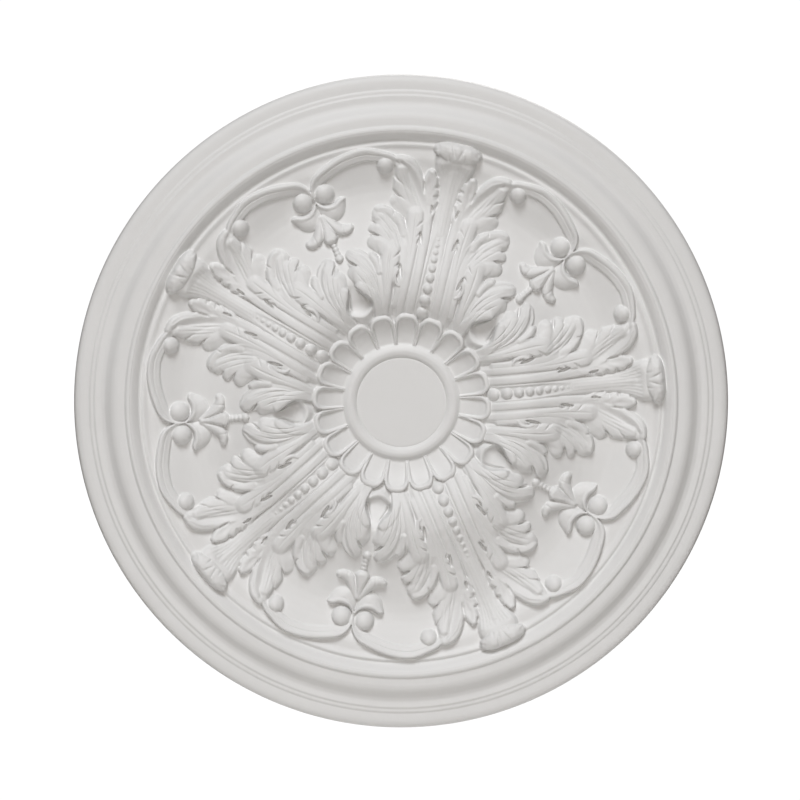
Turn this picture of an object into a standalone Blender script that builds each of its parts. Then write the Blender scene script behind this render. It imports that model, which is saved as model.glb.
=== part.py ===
"""Ceiling rose, cast in one piece with a flat back.

The rose is drawn lying on its back: X and Y in the plane of the back, Z out towards the room.
At the end it is stood up, so that the back is the plane Y = 0 and the ornament faces -Y.
Lengths are in metres. The carving is drawn in millimetres, as on a full-size drawing.
"""
import math

import bmesh
import bpy
import numpy as np
from mathutils import Matrix

NAME = "ceiling_rose"
MM = 0.001

# Plate and rim
ROSE_RADIUS = 0.350
RIM_WIDTH = 0.0735          # from the outer edge in to the lip that edges the panel
EDGE_THICKNESS = 0.0135     # the quarter-round outer edge
EDGE_ROUND = 0.006
FILLET_HEIGHT = 0.0160      # the narrow step between the outer edge and the cove
COVE_HEIGHT = 0.0260        # the inner end of the cove
RIM_HEIGHT = 0.0285         # the band on top of the rim
LIP_HEIGHT = 0.0205
LIP_WIDTH = 0.0025
PANEL_HEIGHT = 0.009        # the dished panel at its lowest

# Centre
DISC_RADIUS = 0.045
DISC_HEIGHT = 0.0138
RING_WIDTH = 0.018
RING_HEIGHT = 0.0168
PETAL_RADIUS = 0.0955
PETAL_HEIGHT = 0.0270
PETAL_NOTCH = 0.0050        # how far the petals' edge runs in between two petals
PETALS = 25

# Sprays
SPRAYS = 5
SPRAY_TURN = math.radians(5.3)
DOME_HEIGHT = 0.0315        # the swell under the sprays
HOLLOW_DEPTH = 0.0060       # the drop-shaped hollow between two sprays, by the petals
STEM_PROUD = 0.0060
LEAF_PROUD = 0.0075
TIP_PROUD = 0.0045
LEAF_EDGE = 0.55            # share of a leaf's height that is its steep edge; the rest is its round back
SCROLL_PROUD = 0.0068
PENDANT_PROUD = 0.0055
CAP_PROUD = 0.0095
BEAD_RADIUS = 0.0068        # the largest bead of the stem
BEAD_RATIO = 0.885          # each bead against the one before it
BEADS = 10
BALL_RADII = (0.0085, 0.0095)

# Facets: the carving is drawn on a fine turned grid and then thinned, and the rim is turned as it stays
CARVING_STEPS = 400
CARVING_GAP = 0.0026
RIM_STEPS = 80
FACET_SHARE = 0.126

# The full-size drawing: the petals' edge and the lip, in millimetres from the centre
DRAWN_PETALS = 95.5
DRAWN_LIP = 276.5
DRAWN_SPRAYS = 5
DRAWN_REACH = 360.0

# Leaf fingers to one side of a stem: points along the finger, and its half width at the belly.
# X is across from the stem's axis, Y out from the centre of the rose.
FINGERS = (
    (((12, 155), (17, 187), (27, 210), (40, 230), (59, 254)), 8.5),
    (((12, 182), (19, 205), (29, 226), (38, 247)), 4.6),
    (((17, 218), (20, 232), (23, 249)), 5.0),
    (((34, 214), (46, 221), (57, 226)), 5.0),
    (((28, 202), (42, 208), (55, 211)), 5.2),
    (((22, 108), (22, 140), (28, 163), (37, 183), (50, 197)), 5.6),
    (((30, 158), (45, 177), (58, 188), (73, 195)), 7.0),
    (((40, 162), (57, 171), (73, 176)), 5.6),
    (((38, 152), (55, 160), (72, 163)), 5.4),
    (((27, 178), (32, 193), (33, 206)), 7.6),
    (((17, 150), (18, 168), (22, 188)), 5.6),
    (((30, 100), (45, 121), (53, 141), (66, 153)), 6.0),
    (((43, 100), (54, 124), (70, 139), (88, 143)), 7.4),
    (((50, 103), (66, 123), (84, 127)), 6.4),
    (((40, 136), (47, 152), (49, 167)), 7.6),
    (((31, 122), (33, 136), (34, 148)), 6.0),
    (((50, 94), (57, 106), (77, 116)), 6.0),
    (((49, 96), (55, 88), (66, 80)), 4.0),
)
SCROLL = ((67, 252), (79, 255), (95, 253), (111, 245), (126, 233), (137, 217), (139, 206))
SCROLL_HALF_WIDTH = 6.0
BALLS = ((73, 243), (130, 198.5))
STEM = ((0, 92), (0, 150), (0, 225), (0, 262))
STEM_HALF_WIDTHS = (9.0, 9.0, 9.5, 15.0)
FIRST_BEAD = 98.0
BEAD_GAP = 1.13             # distance between two beads as a share of the sum of their radii
BEAD_SEAT = 0.6             # share of the stem's height at which the beads' centres lie
BALL_SEAT = 0.15
CAP_LOBES = ((0, 0), (13, 13), (20, 24))
CAP_REACH = (267, 282)
CAP_HALF_WIDTH = 6.8

# The pendant hangs between two sprays; here Y runs out along its own axis.
PENDANT_RIBS = (
    (((2, 223), (10, 214), (15, 206), (28, 226)), 5.0),
    (((3, 212), (12, 200), (21, 199), (30, 203)), 4.2),
    (((0, 214), (0, 202), (0, 186)), 6.0),
)
PENDANT_BEADS = ((190, 5.4), (180, 3.8), (172, 3.4), (165, 3.8))
PENDANT_BEAD_SEAT = 0.0010
HOLLOW = ((0, 112), (0, 128), (0, 146))
HOLLOW_HALF_WIDTHS = (10.5, 6.5, 2.5)


def lip_radius():
    return ROSE_RADIUS - RIM_WIDTH


def drawn_radius(r):
    """Real distance from the centre of a point drawn r millimetres from it."""
    inner = PETAL_RADIUS * r / DRAWN_PETALS
    share = (r - DRAWN_PETALS) / (DRAWN_LIP - DRAWN_PETALS)
    middle = PETAL_RADIUS + share * (lip_radius() - PETAL_RADIUS)
    outer = lip_radius() + (r - DRAWN_LIP) * MM
    return np.where(r < DRAWN_PETALS, inner, np.where(r > DRAWN_LIP, outer, middle))


def arc(centre, radii, start, end, steps):
    """Points on an elliptic arc, its angles in degrees."""
    angles = np.radians(np.linspace(start, end, steps + 1))
    return [(centre[0] + radii[0] * math.cos(a), centre[1] + radii[1] * math.sin(a)) for a in angles]


def centre_profile():
    """The flat disc, the round ring about it and the floor that the petals stand on."""
    middle = DISC_RADIUS + 0.4 * RING_WIDTH
    rise = RING_HEIGHT - DISC_HEIGHT
    profile = [(0.0, DISC_HEIGHT), (DISC_RADIUS, DISC_HEIGHT)]
    profile += arc((middle, DISC_HEIGHT), (0.4 * RING_WIDTH, rise), 150, 90, 2)
    profile += arc((middle, DISC_HEIGHT), (0.6 * RING_WIDTH, rise), 60, 0, 2)
    return profile


def panel_profile():
    """From the petals out over the swell and down into the dished panel, up to the lip."""
    fall = DOME_HEIGHT - PANEL_HEIGHT
    rise = LIP_HEIGHT - PANEL_HEIGHT
    swell = ((96, 0.74), (105, 0.93), (118, 1.0), (136, 0.96), (150, 0.74), (165, 0.44), (180, 0.19), (200, 0.03))
    dish = ((225, 0.0), (240, 0.12), (256, 0.44), (268, 0.76), (274, 0.86))
    profile = [(float(drawn_radius(r)), PANEL_HEIGHT + share * fall) for r, share in swell]
    return profile + [(float(drawn_radius(r)), PANEL_HEIGHT + share * rise) for r, share in dish]


def rim_profile():
    """The rim from its lip out to the outer edge: lip, ovolo, band, cove, fillet and round edge."""
    lip = lip_radius()
    width = RIM_WIDTH
    foot = LIP_HEIGHT - 0.0005
    cove_rise = COVE_HEIGHT - FILLET_HEIGHT
    profile = [(lip - 0.4 * LIP_WIDTH, LIP_HEIGHT), (lip + 0.4 * LIP_WIDTH, LIP_HEIGHT), (lip + 0.5 * LIP_WIDTH, foot)]
    profile += arc((lip + 0.20 * width, foot), (0.16 * width, RIM_HEIGHT - foot), 180, 90, 3)[1:]
    profile += [(lip + 0.275 * width, RIM_HEIGHT), (lip + 0.285 * width, COVE_HEIGHT + 0.001)]
    profile += [(lip + 0.37 * width, COVE_HEIGHT)]
    profile += arc((lip + 0.72 * width, COVE_HEIGHT), (0.28 * width, cove_rise), 180, 270, 4)
    profile += [(lip + 0.765 * width, FILLET_HEIGHT), (lip + 0.785 * width, EDGE_THICKNESS + 0.001)]
    profile += [(ROSE_RADIUS - EDGE_ROUND - 0.002, EDGE_THICKNESS)]
    profile += arc((ROSE_RADIUS - EDGE_ROUND, EDGE_THICKNESS - EDGE_ROUND), (EDGE_ROUND, EDGE_ROUND), 75, 0, 2)
    return profile


def petal_heights(radius, angle):
    """Scooped petals about the centre: their height, or zero where there is none."""
    turn = (angle - SPRAY_TURN) * PETALS / (2 * math.pi)
    across = 2 * (turn % 1.0) - 1
    edge = PETAL_RADIUS - PETAL_NOTCH * across ** 2
    foot = DISC_RADIUS + 0.85 * RING_WIDTH
    out = (radius - foot) / (edge - foot)
    scoop = np.clip(out, 0, 1) ** 1.7
    side = 0.16 * across ** 2 * np.sin(math.pi * np.clip(1.05 * out, 0, 1))
    height = DISC_HEIGHT + (PETAL_HEIGHT - DISC_HEIGHT) * (scoop + side)
    return np.where((out >= 0) & (out <= 1.0), height, 0.0)


def smooth_line(points, steps):
    """A smooth curve through the points, which it meets at even steps."""
    p = np.array([points[0], *points, points[-1]], float)
    t = np.linspace(0, 1, steps, endpoint=False)[:, None]
    spans = []
    for i in range(len(points) - 1):
        a, b, c, d = p[i:i + 4]
        spans.append(0.5 * (2 * b + (c - a) * t + (2 * a - 5 * b + 4 * c - d) * t ** 2 + (3 * b - a - 3 * c + d) * t ** 3))
    return np.vstack(spans + [p[-1:]])


def rib(x, y, points, half_widths, proud, edge=LEAF_EDGE, steps=5):
    """How far a rib along the points stands proud of the ground at each place."""
    line = smooth_line(points, steps)
    spread = np.linspace(0, 1, len(line))
    widths = np.interp(spread, np.linspace(0, 1, len(half_widths)), half_widths)
    tops = np.interp(spread, np.linspace(0, 1, len(proud)), proud)
    relief = np.zeros_like(x)
    margin = widths.max()
    near = (x > line[:, 0].min() - margin) & (x < line[:, 0].max() + margin)
    near &= (y > line[:, 1].min() - margin) & (y < line[:, 1].max() + margin)
    px, py = x[near], y[near]
    best = np.full(px.shape, 9.0)
    top = np.zeros(px.shape)
    for i in range(len(line) - 1):
        (x0, y0), (dx, dy) = line[i], line[i + 1] - line[i]
        along = np.clip(((px - x0) * dx + (py - y0) * dy) / (dx * dx + dy * dy), 0, 1)
        off = np.hypot(px - x0 - along * dx, py - y0 - along * dy)
        share = off / (widths[i] + along * (widths[i + 1] - widths[i]))
        closer = share < best
        best = np.where(closer, share, best)
        top = np.where(closer, tops[i] + along * (tops[i + 1] - tops[i]), top)
    side = np.clip((1 - best) / 0.3, 0, 1)
    back = np.clip(1 - best ** 2, 0, 1)
    relief[near] = top * (edge * side + (1 - edge) * back)
    return relief


def knob(x, y, cx, cy, radius, seat):
    """A round bead or ball of a real radius, whose centre lies at the seat's height over the ground."""
    inside = (radius / MM) ** 2 - (x - cx) ** 2 - (y - cy) ** 2
    return np.where(inside > 0, MM * np.sqrt(np.clip(inside, 0, None)) + seat, 0.0)


def spray_relief(x, y):
    """The spray's height over the ground, in metres; x and y are in millimetres on its drawing."""
    relief = rib(x, y, STEM, STEM_HALF_WIDTHS, [STEM_PROUD] * 4, edge=0.8)
    for points, belly in FINGERS:
        widths = (0.8 * belly, belly, 0.9 * belly, 2.2)
        relief = np.maximum(relief, rib(x, y, points, widths, (LEAF_PROUD, LEAF_PROUD, LEAF_PROUD, TIP_PROUD)))
    bead_y = FIRST_BEAD
    radius = BEAD_RADIUS
    for _ in range(BEADS):
        relief = np.maximum(relief, knob(x, y, 0, bead_y, radius, BEAD_SEAT * STEM_PROUD))
        bead_y += BEAD_GAP * (1 + BEAD_RATIO) * radius / MM
        radius *= BEAD_RATIO
    scroll = rib(x, y, SCROLL, (SCROLL_HALF_WIDTH,) * 2, (SCROLL_PROUD,) * 2)
    relief = np.maximum(relief, scroll)
    for (bx, by), radius in zip(BALLS, BALL_RADII):
        relief = np.maximum(relief, knob(x, y, bx, by, radius, -BALL_SEAT * radius))
    return relief


def cap_relief(x, y):
    relief = np.zeros_like(x)
    for inner, outer in CAP_LOBES:
        lobe = ((outer, CAP_REACH[0]), (inner, CAP_REACH[1]))
        relief = np.maximum(relief, rib(x, y, lobe, (CAP_HALF_WIDTH, CAP_HALF_WIDTH), (CAP_PROUD, 0.3 * CAP_PROUD)))
    return relief


def pendant_relief(x, y):
    relief = np.zeros_like(x)
    for points, belly in PENDANT_RIBS:
        proud = (PENDANT_PROUD, PENDANT_PROUD, PENDANT_PROUD, 0.6 * PENDANT_PROUD)
        relief = np.maximum(relief, rib(x, y, points, (belly, belly, 0.8 * belly, 2.0), proud))
    for cy, radius in PENDANT_BEADS:
        relief = np.maximum(relief, knob(x, y, 0, cy, radius * MM, PENDANT_BEAD_SEAT))
    return relief


def heights(radius, angle):
    """Height of the finished front over its back."""
    profile = np.array(centre_profile() + panel_profile() + rim_profile())
    ground = np.interp(radius, profile[:, 0], profile[:, 1])
    half_pitch = math.pi / SPRAYS
    from_stem = np.abs((angle - SPRAY_TURN + half_pitch) % (2 * half_pitch) - half_pitch)
    from_pendant = half_pitch - from_stem
    widen = SPRAYS / DRAWN_SPRAYS
    on_drawing = np.arange(0.0, DRAWN_REACH, 2.0)
    drawn = np.interp(radius, drawn_radius(on_drawing), on_drawing)
    stem_x, stem_y = drawn * np.sin(from_stem * widen), drawn * np.cos(from_stem * widen)
    hang_x, hang_y = drawn * np.sin(from_pendant * widen), drawn * np.cos(from_pendant * widen)
    ground -= rib(hang_x, hang_y, HOLLOW, HOLLOW_HALF_WIDTHS, (HOLLOW_DEPTH,) * 2)
    relief = np.maximum(spray_relief(stem_x, stem_y), cap_relief(stem_x, stem_y))
    relief = np.maximum(relief, pendant_relief(hang_x, hang_y))
    return np.maximum(ground + relief, petal_heights(radius, angle))


def turned_rows(bm, radii, steps):
    """Concentric rings of points in the plane of the back, joined by faces."""
    row = [bm.verts.new((r, 0.0, 0.0)) for r in radii]
    edges = [bm.edges.new(pair) for pair in zip(row, row[1:])]
    full = 2 * math.pi
    bmesh.ops.spin(bm, geom=row + edges, axis=(0, 0, 1), cent=(0, 0, 0), steps=steps, angle=full, use_merge=True)


def relief_mesh():
    """Turned rings of points lifted to the height of the front, closed by its side and flat back."""
    seam = lip_radius() + 0.2 * RIM_WIDTH
    petal_foot = DISC_RADIUS + RING_WIDTH
    lip_radii = [r for r, _ in rim_profile() if r < seam - 0.5 * CARVING_GAP]
    gaps = [float(r) for r in np.arange(petal_foot, lip_radii[0] - 0.5 * CARVING_GAP, CARVING_GAP)]
    bm = bmesh.new()
    turned_rows(bm, [seam] + [r for r, _ in rim_profile() if r > seam], RIM_STEPS)
    inner_edges = [e for e in bm.edges if all(math.hypot(v.co.x, v.co.y) < seam + 1e-6 for v in e.verts)]
    cut = bmesh.ops.subdivide_edges(bm, edges=inner_edges, cuts=CARVING_STEPS // RIM_STEPS - 1)["geom_inner"]
    for vert in (item for item in cut if isinstance(item, bmesh.types.BMVert)):
        step = round(math.atan2(vert.co.y, vert.co.x) * CARVING_STEPS / (2 * math.pi))
        angle = step * 2 * math.pi / CARVING_STEPS
        vert.co = (seam * math.cos(angle), seam * math.sin(angle), 0.0)
    turned_rows(bm, [r for r, _ in centre_profile()][:-1] + gaps + lip_radii + [seam], CARVING_STEPS)
    bmesh.ops.remove_doubles(bm, verts=bm.verts, dist=1e-5)
    place = np.array([v.co for v in bm.verts])
    radius = np.hypot(place[:, 0], place[:, 1])
    lifted = heights(radius, np.arctan2(place[:, 1], place[:, 0]))
    for vert, z in zip(bm.verts, lifted):
        vert.co.z = z
    side = bmesh.ops.extrude_edge_only(bm, edges=[e for e in bm.edges if e.is_boundary])["geom"]
    for vert in (item for item in side if isinstance(item, bmesh.types.BMVert)):
        vert.co.z = 0.0
    bmesh.ops.edgeloop_fill(bm, edges=[e for e in bm.edges if e.is_boundary])
    bmesh.ops.recalc_face_normals(bm, faces=bm.faces)
    mesh = bpy.data.meshes.new(NAME)
    bm.to_mesh(mesh)
    bm.free()
    carved = [v.index for v in mesh.vertices if math.hypot(v.co.x, v.co.y) < seam - 1e-5]
    return mesh, carved


def white_foam():
    material = bpy.data.materials.new("white_primed_foam")
    material.use_nodes = True
    shader = material.node_tree.nodes["Principled BSDF"]
    shader.inputs["Base Color"].default_value = (0.80, 0.79, 0.77, 1.0)
    shader.inputs["Roughness"].default_value = 0.55
    shader.inputs["Metallic"].default_value = 0.0
    return material


def main():
    for old in list(bpy.data.objects):
        bpy.data.objects.remove(old)
    parts = bpy.data.collections.new(NAME)
    bpy.context.scene.collection.children.link(parts)
    mesh, carved = relief_mesh()
    rose = bpy.data.objects.new(NAME, mesh)
    parts.objects.link(rose)
    rose.vertex_groups.new(name="carving").add(carved, 1.0, "REPLACE")
    rose.data.materials.append(white_foam())
    thin = rose.modifiers.new("fewer_facets", "DECIMATE")
    thin.ratio = FACET_SHARE
    thin.vertex_group = "carving"
    rose.matrix_world = Matrix.Rotation(math.radians(90), 4, "X")


main()
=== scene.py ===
"""Ceiling rose, cast in rigid foam and primed white: the carved face in full relief.

The relief is drawn in millimetres, as heights above the flat back. One half of a spray is drawn,
mirrored about its stem and repeated round the rose. A place is given by how far it lies across
from the stem's axis and how far out it lies from the centre of the rose.
"""
import math

import bmesh
import bpy
import numpy as np
from mathutils import Matrix, Vector


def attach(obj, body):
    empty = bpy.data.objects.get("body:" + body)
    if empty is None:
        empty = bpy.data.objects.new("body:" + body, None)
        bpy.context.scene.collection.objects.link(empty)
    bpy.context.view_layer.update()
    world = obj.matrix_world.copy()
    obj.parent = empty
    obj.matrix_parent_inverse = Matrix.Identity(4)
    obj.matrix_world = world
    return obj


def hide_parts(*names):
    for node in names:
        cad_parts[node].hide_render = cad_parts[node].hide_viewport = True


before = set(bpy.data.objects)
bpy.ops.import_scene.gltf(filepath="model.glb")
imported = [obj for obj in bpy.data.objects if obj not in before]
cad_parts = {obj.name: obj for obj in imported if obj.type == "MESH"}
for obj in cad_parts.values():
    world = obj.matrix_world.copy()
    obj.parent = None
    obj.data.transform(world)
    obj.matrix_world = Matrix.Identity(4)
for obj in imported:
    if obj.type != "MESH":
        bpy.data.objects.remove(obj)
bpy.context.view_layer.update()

MM = 0.001

# The plan of the rose: radii in millimetres, angles in degrees
ROSE_RADIUS = 350.0
BOSS_RADIUS = 62.0
CARVING_IN = 97.0
CARVING_OUT = 289.5
RIM_START = 268.0
SPRAYS = 5
SPRAY_SWEEP = 72.0
SPRAY_TURN = 5.3
PETAL_SWEEP = 18.0

# How finely the meshes are cut
SPRAY_RINGS = 262
SPRAY_STEPS = 306
PETAL_RINGS = 56
PETAL_STEPS = 720
BOSS_STEPS = 240
RIM_STEPS = 360
CARVING_FLOOR = 2.0
STEPS_PER_SPAN = 8

# Sections across a stroke: the place from its right edge, -1, to its left edge, 1, seen from the
# stroke's root, and the share of the stroke's height there
ROUND_BACK = ((-1, 0), (-.97, .24), (-.88, .48), (-.72, .71), (-.5, .88), (-.25, .97), (0, 1),
              (.25, .97), (.5, .88), (.72, .71), (.88, .48), (.97, .24), (1, 0))
FLAT_BAND = ((-1, 0), (-.96, .35), (-.86, .68), (-.7, .88), (-.4, .98), (0, 1), (.4, .98), (.7, .88),
             (.86, .68), (.96, .35), (1, 0))
LEAF_FINGER = ((-1, 0), (-.97, .12), (-.9, .24), (-.75, .40), (-.5, .60), (-.2, .78), (.15, .92),
               (.45, 1), (.68, .98), (.84, .82), (.94, .5), (1, 0))
VEINED_BLADE = ((-1, 0), (-.96, .22), (-.88, .42), (-.74, .58), (-.58, .67), (-.44, .70), (-.38, .66),
                (-.3, .68), (-.24, .73), (-.17, .66), (-.1, .66), (-.02, .74), (.05, .71), (.12, .60),
                (.2, .55), (.3, .58), (.43, .68), (.58, .84), (.7, .95), (.79, 1), (.87, .9), (.94, .6),
                (1, 0))
OPEN_BLADE = ((-1, 0), (-.96, .25), (-.88, .46), (-.74, .62), (-.5, .72), (-.3, .74), (-.24, .69),
              (-.16, .75), (.02, .78), (.08, .72), (.16, .78), (.34, .82), (.42, .80), (.5, .62),
              (.58, .50), (.7, .47), (.84, .50), (.94, .46), (.98, .3), (1, 0))
LEAF_SHEET = ((-1, 0), (-.95, .3), (-.85, .6), (-.7, .8), (-.45, .93), (-.1, 1), (.4, 1), (.7, .95),
              (.86, .78), (.95, .45), (1, 0))
SOFT_GROOVE = ((-1, 0), (-.7, .14), (-.35, .66), (0, 1), (.35, .66), (.7, .14), (1, 0))
REEDED_BAND = ((-1, 0), (-.94, .3), (-.84, .44), (-.6, .5), (-.34, .6), (-.16, .7), (-.08, .64),
               (0, .66), (.08, .8), (.3, .94), (.56, 1), (.76, .92), (.9, .68), (.97, .38), (1, 0))
CAP_ROLL = ((-1, 0), (-.985, .62), (-.94, .78), (-.8, .89), (-.5, .97), (-.1, 1), (.3, .96), (.6, .84),
            (.82, .62), (.95, .32), (1, 0))

# Turned profiles, as (radius, height): the panel that swells under the sprays, the rim from the lip
# outwards, and the centre disc with its ring
PANEL = ((0, 13.8), (60, 14), (88, 15.0), (97, 20.0), (105, 25.2), (113, 28.9), (121, 30.9), (130, 31.6),
         (139, 31.0), (150, 28.0), (160, 24.5), (170, 20.9), (180, 17.4), (190, 14.3), (200, 11.8),
         (210, 9.9), (218, 9.1), (225, 9.0), (233, 9.9), (242, 12.1), (252, 15.2), (262, 18.0),
         (268, 18.4), (274, 18.6))
RIM = ((268.0, 18.4), (271.0, 19.0), (273.4, 20.4), (275.6, 21.2), (277.2, 20.7), (278.6, 19.8),
       (280.4, 20.4), (283, 23.6), (286, 26.6), (288.6, 28.4), (291.5, 28.9), (293.2, 28.6), (294.0, 27.8),
       (295.7, 26.3), (297.4, 26.3), (302.5, 26.2), (306.0, 25.6), (309.6, 23.9), (313.6, 20.4),
       (317.2, 17.8), (321.8, 16.7), (327.0, 16.8), (327.8, 16.5), (329.0, 15.7), (331.8, 15.6),
       (332.6, 15.3), (334.0, 14.4), (338, 14.4), (342, 14.2), (345, 13.5), (347.4, 12.2), (349.2, 9.6),
       (350, 6.0))
CENTRE = ((0, 13.8), (46.8, 13.8), (47.5, 13.3), (48.3, 13.9), (49.4, 15.0), (51.8, 16.3), (55, 16.9),
          (58, 16.2), (60.4, 14.4), (62.2, 12.9), (64, 12.4))
CENTRE_END = 64.0

# A petal's scooped floor and its raised edge, as (radius, height)
PETAL_FLOOR = ((50, 11.4), (60, 12.0), (64, 12.4), (71, 14.0), (79, 17.1), (84, 20.0), (88, 23.0),
               (92, 25.0), (97, 26.0))
PETAL_CREST = ((50, 12.0), (60, 13.4), (70, 16.4), (80, 21.6), (88, 26.0), (93, 27.6), (97, 27.8))

# The drop-shaped hollow between two sprays: its half width and its floor, by distance from the centre
HOLLOW_HALF = ((88, 9.0), (96, 10.0), (102, 12.0), (108, 13.4), (113, 13.6), (117, 12.6), (121, 10.4),
               (125, 7.8), (129, 5.6), (135, 3.6), (139, 2.8), (146, 2.4))
HOLLOW_FLOOR = ((86, 17.5), (90, 19.0), (94, 21.6), (97.6, 25.8), (100.6, 28.0), (103, 27.0), (106, 24.4),
                (109, 23.0), (112, 22.6), (116, 23.2), (121, 24.8), (127, 26.8), (132, 28.6), (138, 30.6),
                (146, 30.8))

# What the caps stand on, as (radius, height)
CAP_SEAT = ((0, 17), (262, 17), (274, 19.5), (300, 20))

# The string of pearls along a stem: each is smaller than the one before it
PEARLS = 11
FIRST_PEARL = 97.6
PEARL_RADIUS = 7.7
PEARL_RATIO = .89

# Deep creases among the leaves: across, out, half width, half length, depth below the panel, turn
CREASES = (
    (32.6, 137.4, 1.5, 7.2, .6, -16),
    (18.8, 175.8, 1.4, 6.4, .6, -14),
    (13.8, 207.6, 1.1, 4.8, .4, -8),
    (68, 169.0, 4.6, 1.1, .4, 4),
    (54.6, 216.6, 4.6, 1.1, .4, 26),
    (72.4, 181.3, 4.2, 1.0, .3, 14),
    (84.5, 133.4, 5.0, 1.3, .4, 14),
)


def eased(table, place):
    """A table's value at a place, on a smooth curve that never passes the table's own points."""
    points = np.array(table, float)
    at, value = points[:, 0], points[:, 1]
    gap = np.diff(at)
    rise = np.diff(value) / gap
    slope = np.zeros_like(value)
    for i in range(1, len(at) - 1):
        if rise[i - 1] * rise[i] > 0:
            near = 2 * gap[i] + gap[i - 1]
            far = gap[i] + 2 * gap[i - 1]
            slope[i] = (near + far) / (near / rise[i - 1] + far / rise[i])
    i = np.clip(np.searchsorted(at, place) - 1, 0, len(at) - 2)
    u = np.clip((place - at[i]) / gap[i], 0, 1)
    start = (2 * u ** 3 - 3 * u ** 2 + 1) * value[i] + (u ** 3 - 2 * u ** 2 + u) * gap[i] * slope[i]
    end = (-2 * u ** 3 + 3 * u ** 2) * value[i + 1] + (u ** 3 - u ** 2) * gap[i] * slope[i + 1]
    return start + end


def smooth_step(share):
    """A share from 0 to 1, with both of its ends eased."""
    return share * share * (3 - 2 * share)


def smooth_line(points):
    """A smooth line through the points of a stroke, in short straight steps."""
    held = np.array([points[0], *points, points[-1]], float)
    part = np.linspace(0, 1, STEPS_PER_SPAN, endpoint=False)[:, None]
    spans = []
    for i in range(len(points) - 1):
        before, first, second, after = held[i:i + 4]
        straight = (second - before) * part
        bend = (2 * before - 5 * first + 4 * second - after) * part ** 2
        twist = (3 * first - before - 3 * second + after) * part ** 3
        spans.append(.5 * (2 * first + straight + bend + twist))
    return np.vstack(spans + [held[-1:]])


def spread(values, count):
    """One value, or a few along a stroke, spread over every step of its line."""
    if np.ndim(values) == 0:
        return np.full(count, float(values))
    shares = np.linspace(0, 1, len(values))
    return eased(np.column_stack([shares, values]), np.linspace(0, 1, count))


def share_of_height(section, side):
    """The share of a stroke's height at a place across it."""
    points = np.array(section, float)
    return np.interp(side, points[:, 0], points[:, 1])


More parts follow.
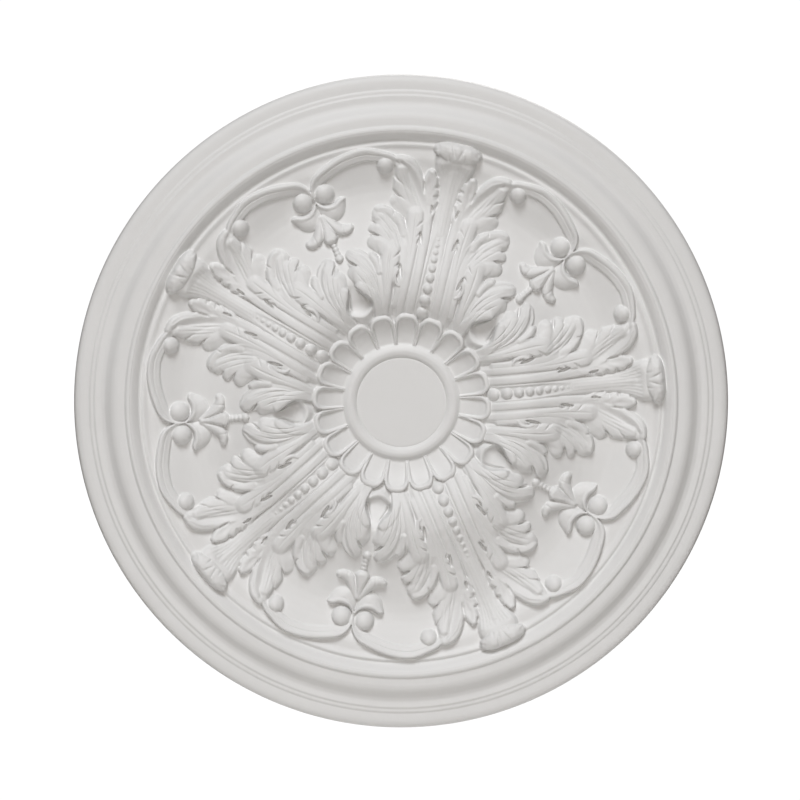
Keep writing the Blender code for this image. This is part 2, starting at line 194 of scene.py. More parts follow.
class Relief:
    """Heights above the panel at a set of places, built up stroke by stroke as a carver does."""

    def __init__(self, across, out):
        self.across = across
        self.out = out
        self.height = np.zeros_like(across)

    def stroke(self, points, widths, tops, section, root=None, fade=(.3, .7), blunt=.5):
        """The places near a stroke and its height at each. A root section fades into the main one."""
        line = smooth_line(points)
        last = len(line) - 1
        half_width = spread(widths, last + 1)
        full_height = spread(tops, last + 1)
        reach = half_width.max() * 1.02
        low = line.min(axis=0) - reach
        high = line.max(axis=0) + reach
        near = (self.across > low[0]) & (self.across < high[0])
        near &= (self.out > low[1]) & (self.out < high[1])
        x, y = self.across[near], self.out[near]
        nearest = np.full(x.shape, 9.0)
        side, top, along, past = (np.zeros(x.shape) for _ in range(4))
        for i in range(last):
            step_x, step_y = line[i + 1] - line[i]
            length = math.hypot(step_x, step_y)
            if length < 1e-9:
                continue
            run = ((x - line[i, 0]) * step_x + (y - line[i, 1]) * step_y) / length
            share = np.clip(run / length, 0, 1)
            width = half_width[i] + share * (half_width[i + 1] - half_width[i])
            off_x = x - line[i, 0] - share * step_x
            off_y = y - line[i, 1] - share * step_y
            distance = np.hypot(off_x, off_y) / width
            closer = distance < nearest
            nearest = np.where(closer, distance, nearest)
            signed = (step_x * off_y - step_y * off_x) / length / width
            beyond = ((run < 0) & (i == 0)) | ((run > length) & (i == last - 1))
            side = np.where(closer, np.where(beyond, signed, np.copysign(distance, signed)), side)
            past = np.where(closer, np.where(beyond, np.abs(run - share * length) / width, 0), past)
            top = np.where(closer, full_height[i] + share * (full_height[i + 1] - full_height[i]), top)
            along = np.where(closer, (i + share) / last, along)
        side = np.clip(side, -1, 1)
        body = share_of_height(section, side)
        if root is not None:
            grown = np.clip((along - fade[0]) / (fade[1] - fade[0]), 0, 1)
            body = body * grown + share_of_height(root, side) * (1 - grown)
        over = np.clip(past / np.sqrt(np.clip(1 - side ** 2, 1e-4, None)), 0, 1)
        rounded = (1 - over ** 2) ** blunt
        return near, np.where(nearest < 1, top * body * rounded, 0.0)

    def rib(self, points, widths, tops, section=ROUND_BACK, blend=.6, **shape):
        """Raises a stroke, and fills the line where it meets what is there by a soft blend."""
        near, new = self.stroke(points, widths, tops, section, **shape)
        old = self.height[near]
        meet = np.clip(blend - np.abs(old - new), 0, None) / max(blend, 1e-9)
        fill = np.where((old > .05) & (new > .05), meet * meet * blend * .25, 0)
        self.height[near] = np.maximum(old, new) + fill

    def groove(self, points, widths, depths, section=SOFT_GROOVE):
        """Cuts a stroke into what is raised, down to the panel at most."""
        near, cut = self.stroke(points, widths, depths, section)
        old = self.height[near]
        self.height[near] = np.where(old > 0, np.maximum(old - cut, 0), old)

    def lay_on(self, points, widths, tops, section):
        """Adds a stroke's height to what is there."""
        near, new = self.stroke(points, widths, tops, section)
        self.height[near] += new

    def oval(self, across, out, half_width, half_length, turn):
        """How far each place lies across and along an oval, as shares of its half width and length."""
        cosine, sine = math.cos(math.radians(turn)), math.sin(math.radians(turn))
        x, y = self.across - across, self.out - out
        return (x * cosine + y * sine) / half_width, (y * cosine - x * sine) / half_length

    def ball(self, across, out, half_width, half_length, top):
        """Raises a round or oval ball."""
        u, v = self.oval(across, out, half_width, half_length, 0)
        self.height = np.maximum(self.height, top * np.sqrt(np.clip(1 - u * u - v * v, 0, 1)))

    def pit(self, across, out, half_width, half_length, depth, turn):
        """Sinks an oval pit into what is raised, down to half a millimetre above the panel."""
        u, v = self.oval(across, out, half_width, half_length, turn)
        sunk = self.height - depth * np.clip(1 - u * u - v * v, 0, 1) ** .6
        self.height = np.maximum(sunk, np.minimum(self.height, .5))

    def crease(self, across, out, half_width, half_length, under, turn):
        """Sinks a steep oval crease through what is raised, to just below the panel."""
        u, v = self.oval(across, out, half_width, half_length, turn)
        cut = smooth_step(np.clip((1.25 - np.hypot(u, v)) / .5, 0, 1))
        self.height = self.height * (1 - cut) - under * cut


def leaf_beds(relief):
    """The low swells that the leaves grow out of."""
    relief.rib(((22, 84), (22, 120), (24, 150), (30, 172), (36, 190)), (26, 24, 18, 10, 4),
               (4.8, 4.8, 4.6, 4.0, 2.0), LEAF_SHEET)
    relief.rib(((44, 84), (50, 108), (60, 124), (72, 134)), (14, 14, 11, 5), (5.4, 5.4, 4.8, 3.0), LEAF_SHEET)


def stem(relief):
    """The stem: a band with a channel for the pearls, flared and fluted where it runs into its cap."""
    relief.rib(((0, 88), (0, 150), (0, 205), (0, 230), (0, 244), (0, 254), (0, 262)),
               (9.6, 9.6, 9.8, 11, 14.6, 18.6, 22), (4.6, 4.8, 4.8, 4.8, 5.0, 6.4, 9.6), FLAT_BAND, 2.0)
    relief.height *= np.interp(relief.out, (266, 279), (1, 0))
    relief.groove(((0, 88), (0, 150), (0, 187)), (7.4, 6.6, 3.6), (1.6, 1.8, .2), FLAT_BAND)
    relief.lay_on(((0, 186), (0, 215), (0, 248)), (4.6, 4.6, 5.0), (.5, .9, .7), FLAT_BAND)
    relief.lay_on(((0, 186), (0, 258)), .9, (.3, .4), ROUND_BACK)
    relief.groove(((9.6, 100), (9.6, 150), (9.8, 190)), (1.4, 1.3, 1.0), (1.0, 1.0, .2))
    for flute in (3.2, 6.6, 10.2, 14.0, 17.6):
        relief.groove(((flute * .62, 226), (flute * .78, 242), (flute * 1.12, 256)), (.8, 1.0, 1.2),
                      (.1, .7, .9))


def pearls(relief):
    """The string of pearls, half sunk in the stem's channel and dwindling outwards."""
    out = FIRST_PEARL
    radius = PEARL_RADIUS
    for _ in range(PEARLS):
        relief.ball(0, out, radius, radius, 2.2 + .92 * radius)
        out += (1 + PEARL_RATIO) * radius * 1.01
        radius *= PEARL_RATIO


def first_leaf(relief):
    """The short leaf by the petals."""
    relief.rib(((42, 84), (46.6, 94.0), (52, 101.6), (58, 107), (65, 110.6), (71.5, 112.4)),
               (5.4, 5.8, 6.0, 6.4, 6.2, 5.0), (6.0, 7.0, 7.8, 8.4, 8.6, 8.2), LEAF_SHEET, 2.0)


def second_leaf(relief):
    """The leaf that rolls over the hollow, and the blunt lobe between it and the stem."""
    relief.rib(((47, 84), (49.5, 98), (54, 111), (60, 122), (69, 132), (78.0, 138.6), (84.6, 140.8)),
               (6.0, 7.0, 9.4, 11.8, 12.4, 10.6, 8.6), (6.0, 7.2, 8.0, 8.0, 8.4, 8.8, 8.6),
               OPEN_BLADE, root=FLAT_BAND, fade=(.12, .3))
    relief.rib(((58, 100), (65, 112), (71, 120), (77, 128)), (7, 9, 9, 7), (5.6, 6.2, 6.6, 6.8),
               LEAF_SHEET, 2.0)
    relief.rib(((52, 96), (60, 109), (69, 118.6), (78.6, 124.4)), (7, 9.6, 9.6, 8.2), (5.0, 6.4, 7.4, 7.4),
               LEAF_FINGER, 3.0)
    relief.rib(((60, 114), (69, 125), (77, 132), (82.6, 137.6)), (6, 9.0, 9.2, 8.4), (5.0, 6.4, 7.2, 7.4),
               LEAF_FINGER, 3.0)
    relief.rib(((54, 132), (58.5, 141), (65.5, 146.4)), (4.4, 5.4, 4.0), (6.8, 7.2, 6.4), ROUND_BACK, 3.0)
    for vein in (((46.5, 100), (53, 115.5), (62.5, 128), (76, 138.4)),
                 ((50, 99), (57.4, 113), (67, 124.6), (79, 133.6)),
                 ((54, 99), (60.5, 109.5), (69, 118.6), (78, 125))):
        relief.groove(vein, (.8, 1.25, 1.25, .9), (.4, 1.1, 1.1, .2))
    relief.groove(((95, 138), (86, 133.2), (77, 132.6)), (2.6, 2.2, .8), (5, 3.4, .6))
    relief.groove(((60, 152), (57.4, 145), (55.4, 138)), (1.8, 1.5, .8), (5, 3, .6))
    relief.rib(((38.4, 84), (39.6, 102), (41.8, 118), (44.0, 132), (45.6, 146), (46.8, 157.6)),
               (4.2, 4.4, 5.8, 8.8, 11.2, 10.6), (6.4, 6.6, 7.0, 7.8, 8.8, 9.6),
               LEAF_SHEET, 3.0, root=FLAT_BAND, fade=(.35, .65), blunt=.42)
    relief.groove(((58.0, 160), (59.8, 152), (57.6, 145)), (1.8, 2.0, 1.0), (3.4, 4.0, 1.2))
    relief.groove(((41.4, 112), (44.6, 130), (46.8, 146), (47.4, 158)), (.9, 1.4, 1.8, 1.2),
                  (.3, .8, 1.1, .4))
    relief.groove(((30.5, 90), (32.5, 104), (35.4, 117), (38, 128)), (2.6, 3.4, 3.2, 1.6),
                  (1.6, 3.0, 3.2, 1.0))
    relief.rib(((36, 138), (37.0, 131), (34.4, 124), (30.6, 121.4)), (4.0, 3.4, 2.8, 2.2),
               (8.4, 8.2, 7.6, 7.0))
    relief.groove(((30.0, 147.8), (35.0, 145.0), (39.6, 139.8)), (2.8, 2.2, 1.1), (6.8, 4.6, .8))
    relief.groove(((32.4, 158.6), (37.6, 155.2), (42.2, 149.8)), (2.8, 2.2, 1.1), (6.8, 4.6, .8))
    relief.pit(31.2, 132.4, 4.2, 5.6, 8.0, 16)


def third_leaf(relief):
    """The broad middle leaf, and the blunt lobe between it and the stem."""
    relief.rib(((30, 100), (30.5, 135), (32, 150), (36, 164), (43, 175), (52, 184.0), (60, 190), (67, 191.5)),
               (4.0, 4.4, 6.4, 9.4, 11.8, 12.2, 11.0, 8.2), (5.6, 6.0, 6.4, 6.6, 6.6, 7.0, 7.6, 7.8),
               VEINED_BLADE, 2.5, root=FLAT_BAND, fade=(.42, .56))
    relief.rib(((44, 147), (52, 157), (58, 168), (62, 179)), (7, 9.5, 10, 8), (5.6, 6.2, 6.5, 6.6),
               LEAF_SHEET, 2.0)
    relief.rib(((38, 148), (48, 155), (58, 158.8), (66.4, 160.4)), (5, 8.8, 8.8, 7.4), (4.6, 6.2, 7.0, 6.6),
               LEAF_FINGER, 3.0)
    relief.rib(((40, 158), (50, 166.4), (60, 171), (68.0, 173.6)), (5, 8.4, 8.2, 7.4), (4.6, 6.2, 7.0, 6.8),
               LEAF_FINGER, 3.0)
    relief.rib(((46, 168), (54, 177), (61, 183), (66.2, 187.5)), (5, 8.4, 8.6, 8.4), (4.6, 6.2, 7.0, 7.2),
               LEAF_FINGER, 3.0)
    relief.rib(((47, 188), (56, 194.4), (64, 196.6), (69.4, 195.8)), (4.0, 5.0, 5.2, 4.4),
               (5.6, 7.0, 7.4, 7.0), ROUND_BACK, 3.0)
    relief.rib(((38, 176), (42, 186), (48.0, 193)), (4.6, 5.4, 4.0), (6.2, 7.2, 6.6), ROUND_BACK, 3.0)
    for vein in (((35, 158), (45, 175), (55, 186), (65, 193.4)),
                 ((38, 157), (48.5, 172.4), (59, 183), (68.6, 189.6)),
                 ((42, 157.6), (53, 170), (63, 178.6), (68, 181.8))):
        relief.groove(vein, (.8, 1.25, 1.25, .9), (.3, 1.1, 1.0, .3))
    relief.groove(((52.4, 199), (52.2, 193.8)), (1.4, 1.1), (4.0, 2.0))
    relief.groove(((78, 184), (72, 180.8), (66, 180)), (1.8, 1.6, .8), (5, 3, .4))
    relief.groove(((78, 171), (70, 169.4), (60, 168.6)), (2.2, 1.9, .8), (5, 3.4, .6))
    relief.rib(((24, 86), (24, 128), (24.4, 152), (26.0, 170), (27.8, 186), (29.8, 199.5)),
               (4.2, 4.2, 4.6, 7.0, 10.0, 9.6), (6.4, 6.6, 6.8, 7.2, 8.2, 8.9),
               LEAF_SHEET, 3.0, root=FLAT_BAND, fade=(.3, .6), blunt=.42)
    relief.groove(((39.0, 199), (39.4, 192), (36.4, 184)), (1.8, 2.0, 1.2), (3.4, 4.0, 1.2))
    relief.groove(((24.8, 150), (26.0, 170), (27.8, 188), (29.6, 201)), (.9, 1.3, 1.6, 1.0),
                  (.3, .8, 1.0, .4))
    relief.groove(((14.8, 184.6), (19.2, 181.6), (23.4, 176.4)), (2.7, 2.1, 1.0), (6.6, 4.4, .8))
    relief.groove(((16.6, 195.0), (21.2, 191.8), (25.4, 186.4)), (2.7, 2.1, 1.0), (6.6, 4.4, .8))
    relief.pit(18.0, 171.6, 3.9, 5.0, 7.0, 20)


def outer_leaf(relief):
    """The long leaf whose tip runs into the scroll."""
    relief.rib(((13.5, 88), (13.5, 140), (15.5, 168), (20, 190), (27, 207), (37, 223), (47.0, 237),
                (56.5, 247.5)),
               (4.9, 4.9, 5.0, 6.6, 10.4, 12.8, 12.4, 7.0), (6.2, 6.4, 6.2, 6.0, 6.4, 7.4, 8.8, 9.4),
               VEINED_BLADE, 2.5, root=FLAT_BAND, fade=(.5, .66))
    relief.rib(((34, 202), (42, 211), (48, 221), (53, 232), (56, 243)), (7, 9.5, 10, 8.0, 5.0),
               (5.0, 5.6, 6.4, 7.6, 8.8), LEAF_SHEET, 2.0)
    relief.rib(((30, 194), (38, 200), (46, 205.0), (52.0, 208.5)), (5, 8.4, 9.0, 7.0), (4.4, 5.6, 6.3, 5.4),
               LEAF_FINGER, 3.0)
    relief.rib(((32, 204), (41, 212), (48, 218.0), (53.0, 222.2)), (5, 8.4, 8.4, 6.8), (4.4, 5.8, 6.6, 6.0),
               LEAF_FINGER, 3.0)
    relief.rib(((42, 222), (48, 229), (53, 235.6), (55.0, 243)), (5, 7.6, 8.0, 7.2), (4.4, 6.2, 7.4, 7.8),
               LEAF_FINGER, 3.0)
    relief.rib(((31, 233), (35, 241.4), (43, 249.4), (51, 253.2), (59.5, 253.2)), (3.0, 3.8, 4.4, 4.8, 4.4),
               (5.8, 6.8, 7.8, 8.6, 8.4), ROUND_BACK, 3.5)
    relief.rib(((27, 224), (31.5, 235), (37.5, 245.5)), (3, 4.2, 2.4), (6.6, 7.8, 7.4))
    for vein in (((33, 213), (43, 231), (51, 245)),
                 ((36, 212), (46.5, 228.5), (54.5, 242)),
                 ((39.5, 211.5), (49.5, 226), (57, 237))):
        relief.groove(vein, (.8, 1.25, 1.0), (.3, 1.1, .4))
    relief.groove(((63, 238.5), (57, 231.6), (49.5, 227.6)), (2.6, 2.0, .8), (5, 3.2, .4))
    relief.groove(((64.2, 251.5), (63.4, 246), (61.6, 238.5)), (1.0, 1.5, 1.4), (1.0, 4.0, 3.0))
    relief.groove(((61, 220), (53, 216.0), (43.5, 211.4)), (2.4, 1.9, .8), (5, 3.2, .4))


def stem_leaf(relief):
    """The narrow leaf that hugs the stem, with its row of small lobes."""
    relief.rib(((12.5, 130), (13, 168), (14.5, 190), (16.5, 210), (20, 226), (22.0, 237), (22.4, 246)),
               (3.6, 4.2, 4.8, 5.2, 6.8, 7.8, 4.4), (4.0, 6.0, 6.2, 6.4, 6.8, 7.4, 8.2),
               LEAF_SHEET, 2.5, blunt=.4)
    relief.groove(((21, 222), (22.4, 233), (22.8, 242)), (2.6, 4.6, 3.6), (.2, 1.2, .6))
    relief.groove(((27.8, 234), (26.8, 228), (25.6, 223.5)), (1.2, 1.7, 1.2), (3, 4.0, 2))
    relief.rib(((15, 194), (13.4, 207), (13.2, 216)), (3.8, 5.2, 5.0), (5.8, 6.6, 6.8), ROUND_BACK, 2.5)
    relief.rib(((18, 214), (15.4, 222), (14.2, 228.4)), (4.2, 5.0, 4.0), (6.2, 7.0, 6.8), ROUND_BACK, 2.5)
    relief.rib(((19, 226), (16.8, 234), (16.6, 241)), (4.0, 4.6, 3.0), (6.2, 7.0, 6.6), ROUND_BACK, 2.5)
    relief.pit(10.4, 210.5, 1.9, 7.0, 2.0, 18)
    relief.pit(12.6, 222.6, 3.4, 1.8, 2.0, -24)
    relief.pit(13.4, 233.0, 2.8, 1.8, 2.0, -24)


def scroll(relief):
    """The C-scroll from the outer leaf's tip to the pendant, with a ball in each of its ends."""
    relief.rib(((61, 249.5), (70, 251.4), (80, 251.4), (88, 250.8), (96, 249.2), (106, 244.6), (116, 238),
                (124.5, 230.2), (131.6, 222), (138.2, 213.4), (141.0, 206.4), (141.0, 199.6), (137.8, 193)),
               (4.6, 5.6, 6.4, 6.9, 7.0, 7.2, 7.2, 7.2, 7.0, 6.4, 4.8, 3.2, 2.0),
               (6.6, 7.0, 7.4, 7.6, 7.6, 7.4, 7.2, 7.0, 7.0, 7.0, 7.0, 7.0, 6.6), REEDED_BAND, 2.0)
    relief.ball(72.5, 243, 9, 9, 9.4)
    relief.ball(129.2, 198.6, 10.8, 10.8, 10.8)


def pendant(relief):
    """Half of the husk pendant between two sprays, drawn along its own axis."""
    # The lily leaf under a ball, with its rim, and the bud where the two scrolls meet
    relief.rib(((1.5, 227), (5, 219), (11.6, 213.2), (18.4, 214), (23.8, 217.6), (28.4, 222.2)),
               (2.2, 6.2, 7.9, 6.8, 4.4, 2.0), (5.4, 7.0, 7.8, 7.6, 7.0, 6.0), LEAF_FINGER)
    relief.rib(((.8, 231), (4, 225.6), (10, 221.4), (18, 220.6), (25, 223.6), (28.6, 224.2)),
               (1.4, 2.6, 3.6, 3.8, 3.4, 2.2), (6.6, 8.2, 9.2, 9.0, 8.2, 7.0), ROUND_BACK, 2.5)
    relief.rib(((0, 243), (0, 238), (0, 231)), (1.4, 1.6, 1.2), (7.0, 7.4, 6.6), ROUND_BACK, 2.0)
    # The flared petal, and the bell with its folds
    relief.rib(((1.5, 215), (5, 208), (8.8, 200.6), (13.6, 195), (19.2, 192.8), (23.4, 193.4)),
               (3.0, 4.4, 5.8, 6.0, 5.2, 4.0), (6.4, 7.4, 8.2, 8.0, 7.2, 6.4), ROUND_BACK, 2.0)
    relief.groove(((16.4, 200), (15.6, 193), (15.2, 187)), (1.4, 1.4, 1.6), (1.0, .9, 2.4))
    relief.rib(((0, 215), (0, 206), (0, 197), (0, 191)), (2.2, 3.4, 5.6, 7.2), (7.4, 8.6, 9.4, 9.2),
               LEAF_SHEET, 1.5)
    relief.groove(((1.8, 212), (4.2, 204), (7.4, 195)), (1.0, 1.4, 1.4), (.8, 1.8, 1.8))
    relief.groove(((1.0, 210), (2.2, 203), (4.4, 194)), (.7, .9, .9), (.7, 1.4, 1.0))
    relief.ball(0, 189.6, 8.2, 3.6, 9.4)
    # The drop of four beads, the last one largest
    for out, radius in ((182.4, 3.3), (177.8, 3.2), (173.2, 3.3), (167.6, 4.5)):
        relief.ball(0, out, radius, radius, 1.8 + .9 * radius)


def cap(relief):
    """The rolled cap on a stem's outer end, with a rounded middle, a side lobe and three notches."""
    relief.rib(((-8, 272.4), (6, 272.6), (13, 273.2), (18, 273.4), (21.6, 273.6)),
               (10.6, 10.4, 9.0, 7.2, 4.6), (15.2, 15.2, 14.2, 12.4, 9.4), CAP_ROLL, 0)
    relief.rib(((0, 276), (0, 266.4)), (6.6, 5.6), (15.4, 14.4), CAP_ROLL, 2.0)
    relief.rib(((12.5, 275), (13.6, 269.8)), (5.8, 5.2), (14.4, 13.2), ROUND_BACK, 2.0)
    relief.groove(((1.6, 264.5), (4.2, 272), (7.6, 280.5)), (.9, 1.5, 1.0), (.8, 2.4, .6))
    relief.groove(((7.8, 259), (8.2, 265), (9.0, 270)), (1.4, 1.2, .8), (4, 2.4, .2))
    relief.groove(((18.6, 262), (18.6, 267), (18.2, 271)), (1.2, .9, .8), (3, 1.4, .1))


def hollowed(height, across, out):
    """The heights with the drop-shaped hollow let in. Across and out are the pendant's own."""
    share = across / eased(HOLLOW_HALF, out)
    undercut = np.interp(out, (108, 114, 124, 132), (0, 1, 1, 0))
    pocket = 3.4 * np.exp(-((share - .8) / .13) ** 2) * undercut
    curl = np.interp(out, (84, 100, 112, 124), (1, 1, .6, 0))
    bent = out - .05 * np.minimum(across, 13) ** 2 * curl
    wall = smooth_step(np.clip((share - .86) / .26, 0, 1))
    wall = np.maximum(wall, np.interp(out, (89, 92, 137, 144), (1, 0, 0, 1)))
    return height * wall + (eased(HOLLOW_FLOOR, bent) - pocket) * (1 - wall)


def petal_height(radius, degrees):
    """Heights of the ring of petals, and -1 in the gaps between them and outside them."""
    half = math.radians(PETAL_SWEEP / 2)
    off = np.radians(degrees % PETAL_SWEEP) - half
    across, out = radius * np.sin(off), radius * np.cos(off)
    from_side = radius * np.sin(half - np.abs(off)) * .985
    from_tip = 28.0 - np.hypot(across, np.maximum(out - 68.2, 0))
    corner = 10.5
    rounded = corner - np.hypot(np.maximum(corner - from_side, 0), np.maximum(corner - from_tip, 0))
    in_middle = (from_side > corner) & (from_tip > corner)
    inside = np.where(in_middle, np.minimum(from_side, from_tip), rounded) - .12
    edge = np.interp(radius, (60, 72, 80, 86, 91), (1.0, 1.3, 1.7, 2.5, 3.8))
    floor = eased(PETAL_FLOOR, radius)
    height = floor + (eased(PETAL_CREST, radius) - floor) * smooth_step(np.clip(2.1 - inside / edge, 0, 1))
    over = np.clip(1 - inside / edge, 0, 1)
    drop = np.interp(radius, (70, 80, 88, 94), (.5, .9, 1.7, 4.0))
    height = height - drop * (1 - np.sqrt(1 - over * over))
    return np.where(inside > 0, height, -1)


def spray_height(across, out):
    """Heights over half a spray, from its stem's axis to its neighbour's pendant."""
    radius = np.hypot(across, out)
    angle = np.arctan2(across, out)
    from_pendant = math.radians(SPRAY_SWEEP / 2) - angle
    pendant_across = radius * np.sin(np.abs(from_pendant))
    pendant_out = radius * np.cos(from_pendant)
    leaves = Relief(across, out)
    for carve in (leaf_beds, stem, pearls, first_leaf, second_leaf, third_leaf, outer_leaf, stem_leaf,
                  scroll):
        carve(leaves)
    for crease in CREASES:
        leaves.crease(*crease)
    husk = Relief(pendant_across, pendant_out)
    pendant(husk)
    panel = np.where(radius < RIM_START, eased(PANEL, radius), eased(RIM, radius))
    height = panel + np.where(leaves.height < 0, leaves.height, np.maximum(leaves.height, husk.height))
    height = hollowed(height, pendant_across, pendant_out)
    top = Relief(across, out)
    cap(top)
    height = np.where(top.height > .01, np.maximum(height, eased(CAP_SEAT, radius) + top.height), height)
    petals = petal_height(radius, np.degrees(angle))
    on_petal = (petals > 0) & (radius >= CENTRE_END)
    by_ring = np.maximum(eased(CENTRE, radius), np.maximum(petals, 0))
    return np.where(radius < CENTRE_END, by_ring, np.where(on_petal, petals, height))


def carving(x, z):
    """Heights at places of the whole rose, each mirrored about the nearest spray's stem."""
    radius = np.hypot(x, z)
    degrees = np.degrees(np.arctan2(z, x)) - SPRAY_TURN
    half = SPRAY_SWEEP / 2
    off = np.radians(np.abs((degrees + half) % SPRAY_SWEEP - half))
    return spray_height(radius * np.sin(off), radius * np.cos(off))


def as_mesh(name, bm):
    """The finished mesh, with its faces turned outwards."""
    bmesh.ops.recalc_face_normals(bm, faces=bm.faces)
    mesh = bpy.data.meshes.new(name)
    bm.to_mesh(mesh)
    bm.free()
    return mesh


def spun(bm, points, axis, degrees, steps):
    """Joins the points by edges, turns them about the rose's axis, and merges what meets."""
    edges = [bm.edges.new(pair) for pair in zip(points, points[1:])]
    bmesh.ops.spin(bm, geom=points + edges, cent=(0, 0, 0), axis=axis, angle=math.radians(degrees),
                   steps=steps, use_merge=degrees == 360)
    bmesh.ops.remove_doubles(bm, verts=bm.verts, dist=1e-6)


def turned(name, section, steps):
    """A section, as (radius, height) points, turned whole about the axis of the rose."""
    bm = bmesh.new()
    points = [bm.verts.new((radius * MM, -height * MM, 0)) for radius, height in section]
    spun(bm, points, (0, 1, 0), 360, steps)
    return as_mesh(name, bm)


def open_edges(bm):
    """The edges that have a face on one side only."""
    return [edge for edge in bm.edges if len(edge.link_faces) == 1]


def carved_sector(inner, outer, start, degrees, rings, steps):
    """A closed sector of the carving: a grid lifted to its heights, with sharp walls and a flat back."""
    bm = bmesh.new()
    angle = math.radians(start)
    points = []
    for radius in np.linspace(inner, outer, rings) * MM:
        points.append(bm.verts.new((radius * math.cos(angle), -CARVING_FLOOR * MM, radius * math.sin(angle))))
    spun(bm, points, (0, -1, 0), degrees, steps)
    face = list(bm.verts)
    places = np.array([(vert.co.x, vert.co.z) for vert in face]) / MM
    heights = carving(places[:, 0], places[:, 1])
    border = open_edges(bm)
    for edge in border:
        edge.smooth = False
    bmesh.ops.extrude_edge_only(bm, edges=border)
    for vert, height in zip(face, heights):
        vert.co.y = -height * MM
    if degrees == 360:
        bmesh.ops.bridge_loops(bm, edges=open_edges(bm))
    else:
        bmesh.ops.edgeloop_fill(bm, edges=open_edges(bm))
    return as_mesh("carving", bm)


def profile(table, radii):
    """The (radius, height) points of a turned face at each of the radii."""
    return [(float(radius), float(height)) for radius, height in zip(radii, eased(table, radii))]


def as_piece(name, mesh, finish):
    """A finished mesh as a smooth piece that rides on the casting's body and stands for the casting."""
    mesh.materials.append(finish)
    for polygon in mesh.polygons:
        polygon.use_smooth = True
    piece = bpy.data.objects.new(name, mesh)
    bpy.context.scene.collection.objects.link(piece)
    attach(piece, "root")
    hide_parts("ceiling_rose")


def five_sprays(finish):
    """The five sprays, cut from the carving once and turned into their places."""
    start = SPRAY_TURN - SPRAY_SWEEP / 2
    first = carved_sector(CARVING_IN, CARVING_OUT, start, SPRAY_SWEEP, SPRAY_RINGS, SPRAY_STEPS)
    for k in range(SPRAYS):
        mesh = first.copy()
        mesh.transform(Matrix.Rotation(math.radians(-SPRAY_SWEEP * k), 4, "Y"))
        as_piece("spray_%d" % (k + 1), mesh, finish)


def petal_border(finish):
    """The ring of twenty petals, with the leaves' roots between their tips."""
    mesh = carved_sector(BOSS_RADIUS, CARVING_IN, SPRAY_TURN, 360, PETAL_RINGS, PETAL_STEPS)
    as_piece("petal_border", mesh, finish)


def centre_boss(finish):
    """The flat disc for a lamp's cup, inside its round ring."""
    radii = np.concatenate([(0, 20, 40, 43), np.arange(44.5, 62.1, .5)])
    section = [(0, 0)] + profile(CENTRE, radii) + [(BOSS_RADIUS, 0)]
    as_piece("centre_boss", turned("centre_boss", section, BOSS_STEPS), finish)


def rim_moulding(finish):
    """The turned rim: the band on top, the cove, the two fillets and the rounded outer edge."""
    radii = np.concatenate([np.arange(CARVING_OUT, 348, .75), np.linspace(348, ROSE_RADIUS, 12)])
    section = [(CARVING_OUT, 0)] + profile(RIM, radii) + [(ROSE_RADIUS, 0), (CARVING_OUT, 0)]
    as_piece("rim_moulding", turned("rim_moulding", section, RIM_STEPS), finish)


def node(tree, kind, settings, links=()):
    """Adds one shader node, its settings by name, and the links into it."""
    made = tree.nodes.new(kind)
    for name, value in settings.items():
        if hasattr(made, name):
            setattr(made, name, value)
        else:
            made.inputs[name].default_value = value
    for socket, source in links:
        tree.links.new(source, made.inputs[socket])
    return made


def linear(hex_colour):
    """An sRGB hex colour as the linear colour that a shader reads."""
    channels = [int(hex_colour[i:i + 2], 16) / 255 for i in (1, 3, 5)]
    return tuple(c / 12.92 if c <= .04045 else ((c + .055) / 1.055) ** 2.4 for c in channels) + (1.0,)


def primed_foam():
    """Rigid polyurethane foam, moulded in one piece and primed white."""
    # To the eye it is a soft neutral white between matt and satin. The primer's tone and gloss drift
    # over patches as wide as a hand, the skin is pulled into shallow waves about 12 mm long, and the
    # primer dries to a fine grain, drawn at 1.6 mm, some three times its real size, so that it shows.
    material = bpy.data.materials.new("moulded_foam_white_primer")
    material.use_nodes = True
    tree = material.node_tree
    shader = tree.nodes["Principled BSDF"]
    place = node(tree, "ShaderNodeTexCoord", {}).outputs["Object"]
    patch = node(tree, "ShaderNodeTexNoise", {"Scale": 1 / .06, "Detail": 3.0}, [("Vector", place)])
    wave = node(tree, "ShaderNodeTexNoise", {"Scale": 1 / .012, "Detail": 1.0}, [("Vector", place)])
    grain = node(tree, "ShaderNodeTexNoise", {"Scale": 1 / .0016, "Detail": 2.0}, [("Vector", place)])
    # Sockets 0, 6 and 7 are the share and the two colours of a mix that is set to colour
    tint = node(tree, "ShaderNodeMix", {"data_type": "RGBA"}, [(0, patch.outputs["Fac"])])
    tint.inputs[6].default_value = linear("#dadad9")
    tint.inputs[7].default_value = linear("#e1e1e0")
    tree.links.new(tint.outputs[2], shader.inputs["Base Color"])
    gloss = node(tree, "ShaderNodeMapRange", {"From Min": .3, "From Max": .7, "To Min": .5, "To Max": .64},
                 [("Value", patch.outputs["Fac"])])
    tree.links.new(gloss.outputs["Result"], shader.inputs["Roughness"])
    waves = node(tree, "ShaderNodeBump", {"Strength": .35, "Distance": .0006},
                 [("Height", wave.outputs["Fac"])])
    skin = node(tree, "ShaderNodeBump", {"Strength": .3, "Distance": .00012},
                [("Height", grain.outputs["Fac"]), ("Normal", waves.outputs["Normal"])])
    tree.links.new(skin.outputs["Normal"], shader.inputs["Normal"])
    return material


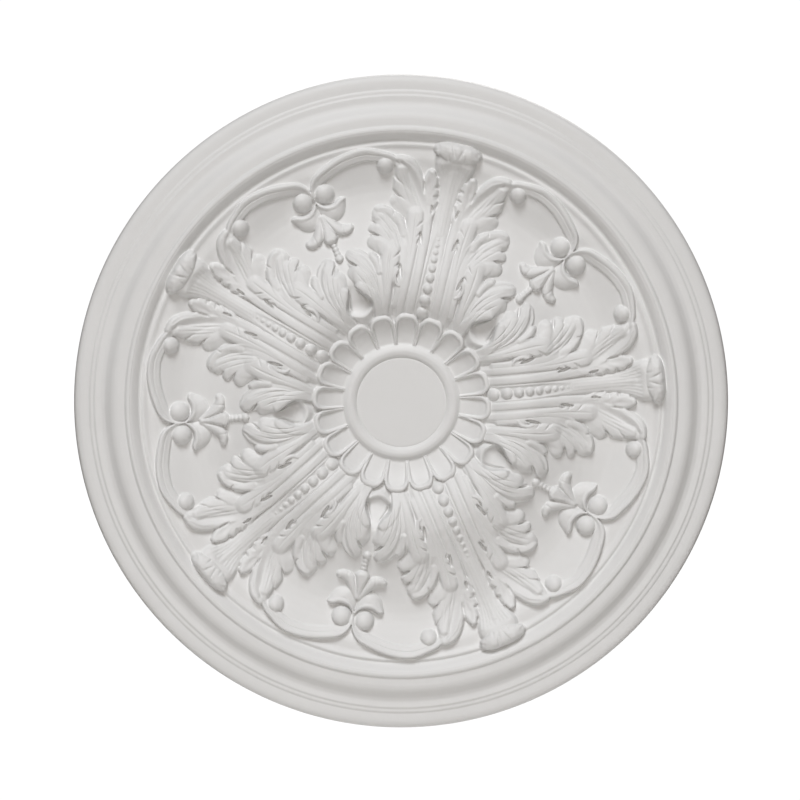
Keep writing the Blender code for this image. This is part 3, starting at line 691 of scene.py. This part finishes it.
def white_room():
    """A dim warm light from all round, and plain white behind the rose where the camera looks past it."""
    world = bpy.data.worlds.new("studio")
    world.use_nodes = True
    bpy.context.scene.world = world
    tree = world.node_tree
    around = tree.nodes["Background"]
    around.inputs["Color"].default_value = (1.0, .82, .60, 1)
    around.inputs["Strength"].default_value = .05
    white = node(tree, "ShaderNodeBackground", {"Color": (1, 1, 1, 1), "Strength": 1.05})
    seen = node(tree, "ShaderNodeLightPath", {}).outputs["Is Camera Ray"]
    both = node(tree, "ShaderNodeMixShader", {}, [(0, seen), (1, around.outputs[0]), (2, white.outputs[0])])
    tree.links.new(both.outputs[0], tree.nodes["World Output"].inputs["Surface"])


def softbox(name, place, width, power, colour):
    """A round softbox that looks at the rose. Its place and width are in metres, its power in watts."""
    lamp = bpy.data.lights.new(name, "AREA")
    lamp.shape = "DISK"
    lamp.size = width
    lamp.energy = power
    lamp.color = colour
    box = bpy.data.objects.new(name, lamp)
    box.location = place
    box.rotation_euler = (-box.location).to_track_quat("-Z", "Y").to_euler()
    box.visible_camera = False
    bpy.context.scene.collection.objects.link(box)


def camera():
    """The photograph's view: nearly square on, from a little above and to the left, with a long lens."""
    lens = bpy.data.cameras.new("camera")
    lens.lens = 210.0
    lens.sensor_width = 36
    lens.clip_end = 60
    turn = math.radians(-.8)
    rise = math.radians(3.0)
    away = 5.0
    eye = bpy.data.objects.new("camera", lens)
    eye.location = (math.sin(turn) * math.cos(rise) * away, -math.cos(turn) * math.cos(rise) * away,
                    math.sin(rise) * away)
    eye.rotation_euler = (Vector((-.0014, 0, .0019)) - eye.location).to_track_quat("-Z", "Y").to_euler()
    bpy.context.scene.collection.objects.link(eye)
    bpy.context.scene.camera = eye


def studio_floor():
    """A plain pale floor, below the photograph's frame. A faint glow of its own keeps it pale."""
    bm = bmesh.new()
    bmesh.ops.create_circle(bm, cap_ends=True, segments=96, radius=1.6)
    bmesh.ops.translate(bm, verts=bm.verts, vec=(0, 0, -1.3))
    mesh = bpy.data.meshes.new("floor")
    bm.to_mesh(mesh)
    bm.free()
    pale = bpy.data.materials.new("floor_matt_white")
    pale.use_nodes = True
    shader = pale.node_tree.nodes["Principled BSDF"]
    shader.inputs["Base Color"].default_value = (.95, .95, .95, 1)
    shader.inputs["Roughness"].default_value = 1.0
    shader.inputs["Emission Color"].default_value = (1, .96, .91, 1)
    shader.inputs["Emission Strength"].default_value = .1
    mesh.materials.append(pale)
    ground = bpy.data.objects.new("floor", mesh)
    bpy.context.scene.collection.objects.link(ground)


finish = primed_foam()
five_sprays(finish)
petal_border(finish)
centre_boss(finish)
rim_moulding(finish)

bpy.context.scene.view_settings.view_transform = "Standard"
white_room()
softbox("softbox_above", (-1.24, -7.8, 9.2), 5.0, 1010, (.965, .975, 1))
softbox("softbox_front", (.1, -6.8, .9), 3.0, 136, (1, .955, .92))
softbox("softbox_behind", (1.8, 6.4, 5.6), 4.0, 420, (1, .98, .96))
camera()
studio_floor()
